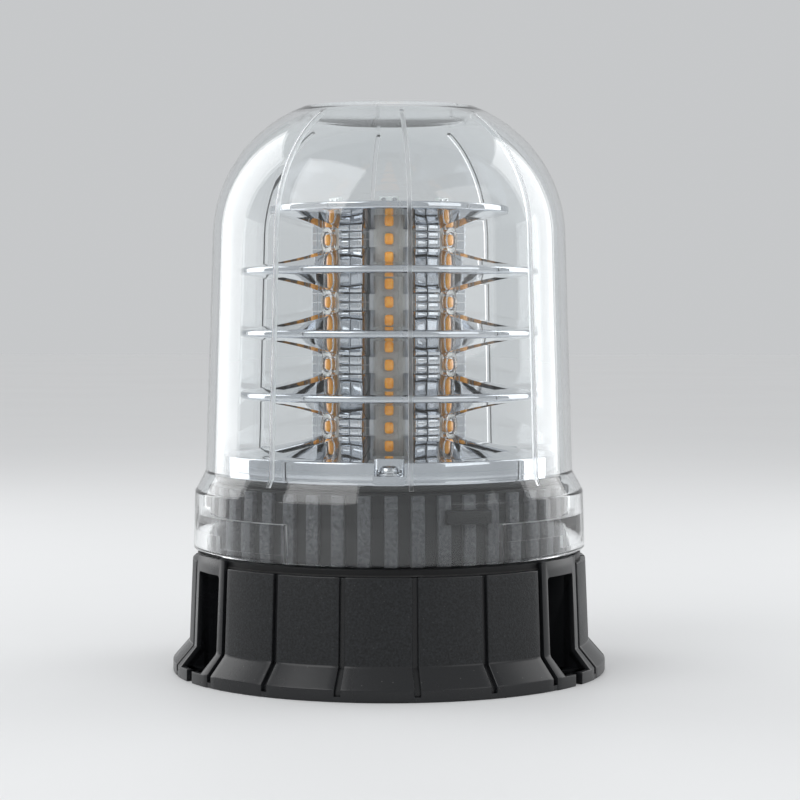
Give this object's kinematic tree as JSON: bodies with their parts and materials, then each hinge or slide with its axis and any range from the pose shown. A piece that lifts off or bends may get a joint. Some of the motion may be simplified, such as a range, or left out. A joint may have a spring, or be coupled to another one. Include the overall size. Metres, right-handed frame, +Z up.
{
  "type": "warning beacon",
  "caption": "Amber LED warning beacon: black three-bolt base, chrome tiered reflector tower and a clear twist-and-lift lens, for machine and vehicle safety.",
  "frame": {"origin": "centre of the foot's underside, on the mounting surface", "axes": "+Z up along the beacon's axis; -Y is the front, midway between two bolt recesses, and the third recess is at +Y"},
  "size_m": [0.15, 0.15, 0.1945],
  "materials": {
    "black_housing": "fine spark texture, satin frames",
    "black_cover": "moulded, matte",
    "black_socket": "coarse spark texture on the ribs",
    "clear_lens": "clear moulded polycarbonate",
    "reflector_chrome": "vacuum-plated mirror",
    "core_aluminium": "extruded, clear anodised",
    "board_white": "white solder mask",
    "board_green": "green solder mask",
    "led_amber": "amber phosphor under a clear cap",
    "window_clear": "clear moulded lens strip",
    "steel": "zinc plated",
    "seal_rubber": "moulded, matte",
    "capacitor_can": "sleeved can",
    "inductor_grey": "pressed ferrite",
    "chip_black": "moulded package",
    "terminal_plastic": "moulded terminal",
    "connector_plastic": "moulded nylon"
  },
  "bodies": {
    "beacon": {"mounting_base": "black_housing", "base_cover": "black_cover", "cover_screws": "steel", "cover_seal": "seal_rubber", "base_gasket": "seal_rubber", "cable_grommet": "seal_rubber", "breather_vent": "black_cover", "socket_seal": "seal_rubber", "lamp_socket": "black_socket", "socket_screws": "steel", "driver_board": "board_green", "board_screws": "steel", "filter_capacitors": "capacitor_can", "power_inductor": "inductor_grey", "control_chip": "chip_black", "driver_transistors": "chip_black", "terminal_block": "terminal_plastic", "board_connector": "connector_plastic", "tower_connector": "connector_plastic", "tower_base_board": "board_white", "tower_core": "core_aluminium", "tower_screws": "steel", "reflector_skirt": "reflector_chrome", "reflector_ring_1": "reflector_chrome", "reflector_ring_2": "reflector_chrome", "reflector_ring_3": "reflector_chrome", "reflector_top": "reflector_chrome", "reflector_washers": "steel", "reflector_screws": "steel", "top_screw": "steel", "led_board_1": "board_white", "led_board_2": "board_white", "led_board_3": "board_white", "led_board_4": "board_white", "led_board_5": "board_white", "led_board_6": "board_white", "led_chips_1": "led_amber", "led_chips_2": "led_amber", "led_chips_3": "led_amber", "led_chips_4": "led_amber", "led_chips_5": "led_amber", "led_chips_6": "led_amber", "led_lens_1": "window_clear", "led_lens_2": "window_clear", "led_lens_3": "window_clear", "led_lens_4": "window_clear", "led_lens_5": "window_clear", "led_lens_6": "window_clear"},
    "seal": {"lens_seal": "seal_rubber"},
    "lens": {"lens_dome": "clear_lens"}
  },
  "joints": [
    {"name": "lens_lift", "type": "slide", "parent": "beacon", "child": "seal", "axis": [0, 0, 1], "range_m": [0, 0.13]},
    {"name": "lens_twist", "type": "hinge", "parent": "seal", "child": "lens", "pos_m": [0, 0, 0.05], "axis": [0, 0, 1], "range_deg": [-35, 0]}
  ]
}
